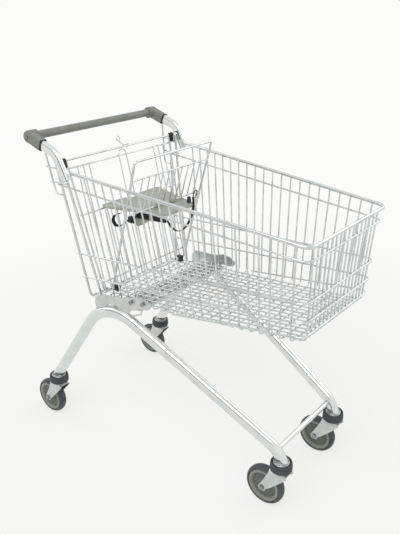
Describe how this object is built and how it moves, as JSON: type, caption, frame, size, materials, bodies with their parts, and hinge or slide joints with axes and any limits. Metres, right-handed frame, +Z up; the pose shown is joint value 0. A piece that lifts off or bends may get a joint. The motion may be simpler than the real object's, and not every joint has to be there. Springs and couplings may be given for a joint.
{
  "type": "shopping trolley",
  "caption": "Wire supermarket trolley with a tapered basket on bent tube beams, swivel casters, handle bar, swing-up rear flap and folding child seat.",
  "frame": {"origin": "on the floor, under the middle of the trolley's outline", "axes": "+X forward (basket front), +Y to the trolley's left, +Z up"},
  "size_m": [1.0418, 0.585, 1.02],
  "materials": {
    "zinc_wire": "bright zinc-plated drawn steel wire",
    "zinc_tube": "bright zinc-plated steel tube",
    "zinc_sheet": "zinc-plated pressed steel sheet",
    "zinc_bolt": "zinc-plated steel fastener",
    "grip_plastic": "grey moulded plastic tube, satin",
    "cap_plastic": "grey moulded plastic, fine grain",
    "seat_plastic": "grey moulded plastic, matt",
    "black_plastic": "black moulded nylon",
    "webbing": "woven polyester webbing",
    "collar_rubber": "moulded rubber",
    "tyre_rubber": "thermoplastic rubber tread",
    "wheel_plastic": "grey moulded wheel centre"
  },
  "bodies": {
    "trolley": {"front_cross_rod": "zinc_wire", "rim": "zinc_wire", "side_rails": "zinc_wire", "side_wires_right": "zinc_wire", "side_wires_left": "zinc_wire", "floor_cross_wires": "zinc_wire", "front_wires": "zinc_wire", "floor_long_wires": "zinc_wire", "rear_posts_right": "zinc_wire", "rear_posts_left": "zinc_wire", "rear_floor_rods": "zinc_wire", "lock_hook": "zinc_wire", "chassis_beam_right": "zinc_tube", "chassis_beam_left": "zinc_tube", "handle_arm_right": "zinc_tube", "handle_arm_left": "zinc_tube", "bracket_right": "zinc_sheet", "bracket_left": "zinc_sheet", "floor_support_plate": "zinc_sheet", "cross_rod_bolts": "zinc_bolt", "bracket_bolts": "zinc_bolt", "handle_screws": "zinc_bolt", "handle_grip": "grip_plastic", "handle_cap_right": "cap_plastic", "handle_cap_left": "cap_plastic", "hinge_bearings": "black_plastic", "caster_collar_rr": "collar_rubber", "caster_collar_rl": "collar_rubber", "caster_collar_fr": "collar_rubber", "caster_collar_fl": "collar_rubber"},
    "flap": {"flap_frame": "zinc_wire", "flap_cross_wires": "zinc_wire", "flap_uprights": "zinc_wire", "flap_loop": "zinc_wire", "flap_hook": "zinc_wire", "flap_clips": "black_plastic"},
    "backrest": {"backrest_frame": "zinc_wire", "backrest_grid": "zinc_wire"},
    "seat": {"seat_plate": "seat_plastic", "harness_strap": "webbing", "harness_buckles": "black_plastic"},
    "swivel_rr": {"fork_rr": "zinc_sheet"},
    "wheel_rr": {"tyre_rr": "tyre_rubber", "wheel_centre_rr": "wheel_plastic"},
    "swivel_rl": {"fork_rl": "zinc_sheet"},
    "wheel_rl": {"tyre_rl": "tyre_rubber", "wheel_centre_rl": "wheel_plastic"},
    "swivel_fr": {"fork_fr": "zinc_sheet"},
    "wheel_fr": {"tyre_fr": "tyre_rubber", "wheel_centre_fr": "wheel_plastic"},
    "swivel_fl": {"fork_fl": "zinc_sheet"},
    "wheel_fl": {"tyre_fl": "tyre_rubber", "wheel_centre_fl": "wheel_plastic"}
  },
  "joints": [
    {"name": "flap_hinge", "type": "hinge", "parent": "trolley", "child": "flap", "pos_m": [-0.308, 0, 0.938], "axis": [0, -1, 0], "range_deg": [0, 80]},
    {"name": "backrest_hinge", "type": "hinge", "parent": "flap", "child": "backrest", "pos_m": [-0.20136, 0, 0.531], "axis": [0, -1, 0], "range_deg": [0, 14]},
    {"name": "seat_hinge", "type": "hinge", "parent": "backrest", "child": "seat", "pos_m": [-0.12521, 0, 0.7863], "axis": [0, 1, 0], "range_deg": [0, 89.1]},
    {"name": "swivel_turn_rr", "type": "hinge", "parent": "trolley", "child": "swivel_rr", "pos_m": [-0.414, -0.26, 0.14], "axis": [0, 0, 1], "continuous": true},
    {"name": "wheel_spin_rr", "type": "hinge", "parent": "swivel_rr", "child": "wheel_rr", "pos_m": [-0.464, -0.26, 0.0625], "axis": [0, 1, 0], "continuous": true},
    {"name": "swivel_turn_rl", "type": "hinge", "parent": "trolley", "child": "swivel_rl", "pos_m": [-0.414, 0.26, 0.14], "axis": [0, 0, 1], "continuous": true},
    {"name": "wheel_spin_rl", "type": "hinge", "parent": "swivel_rl", "child": "wheel_rl", "pos_m": [-0.464, 0.26, 0.0625], "axis": [0, 1, 0], "continuous": true},
    {"name": "swivel_turn_fr", "type": "hinge", "parent": "trolley", "child": "swivel_fr", "pos_m": [0.436, -0.15, 0.14], "axis": [0, 0, 1], "continuous": true},
    {"name": "wheel_spin_fr", "type": "hinge", "parent": "swivel_fr", "child": "wheel_fr", "pos_m": [0.386, -0.15, 0.0625], "axis": [0, 1, 0], "continuous": true},
    {"name": "swivel_turn_fl", "type": "hinge", "parent": "trolley", "child": "swivel_fl", "pos_m": [0.436, 0.15, 0.14], "axis": [0, 0, 1], "continuous": true},
    {"name": "wheel_spin_fl", "type": "hinge", "parent": "swivel_fl", "child": "wheel_fl", "pos_m": [0.386, 0.15, 0.0625], "axis": [0, 1, 0], "continuous": true}
  ],
  "couplings": [
    {"joint": "seat_hinge", "follows": "backrest_hinge", "ratio": 6.36}
  ]
}
